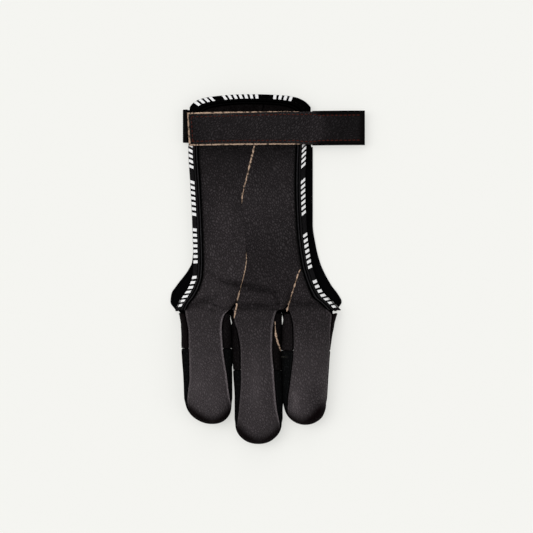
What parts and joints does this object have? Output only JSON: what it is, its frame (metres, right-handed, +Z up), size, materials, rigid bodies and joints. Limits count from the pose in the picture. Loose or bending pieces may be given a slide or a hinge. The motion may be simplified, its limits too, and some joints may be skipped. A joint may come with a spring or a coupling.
{
  "type": "archery glove",
  "caption": "Archery shooting glove with leather finger stalls, a leather palm, elastic fingertip backs, taped open sides and a hook-and-loop wrist strap, lying flat.",
  "frame": {"origin": "middle of the footprint, on the surface that the glove lies on", "axes": "+Y from the fingertips to the wrist, +X to the strap's free end, +Z up through the leather face"},
  "size_m": [0.1172, 0.21, 0.0161],
  "materials": {
    "leather": "full-grain leather with a fine pebble grain, satin, nearly black",
    "elastic": "black ribbed elastic, dull",
    "back_fabric": "black stretch fabric, fine knit, dull",
    "tape": "black woven binding tape with small plain white bars",
    "hook": "black hook pad of tiny stiff hooks, dull",
    "raw_edge": "raw cut leather edge, beige",
    "mark": "small plain white bars woven into the tape",
    "thread": "dark red-brown sewing thread"
  },
  "bodies": {
    "root": {"index_front": "leather", "middle_front": "leather", "ring_front": "leather", "index_outer_side": "leather", "index_inner_side": "leather", "middle_left_side": "leather", "middle_right_side": "leather", "ring_left_side": "leather", "ring_outer_side": "leather", "strap": "leather", "index_back": "elastic", "middle_back": "elastic", "ring_back": "elastic", "wrist_band": "elastic", "back_panel": "back_fabric", "front_tape": "tape", "left_back_binding": "tape", "right_back_binding": "tape", "hook_pad": "hook"}
  },
  "joints": []
}
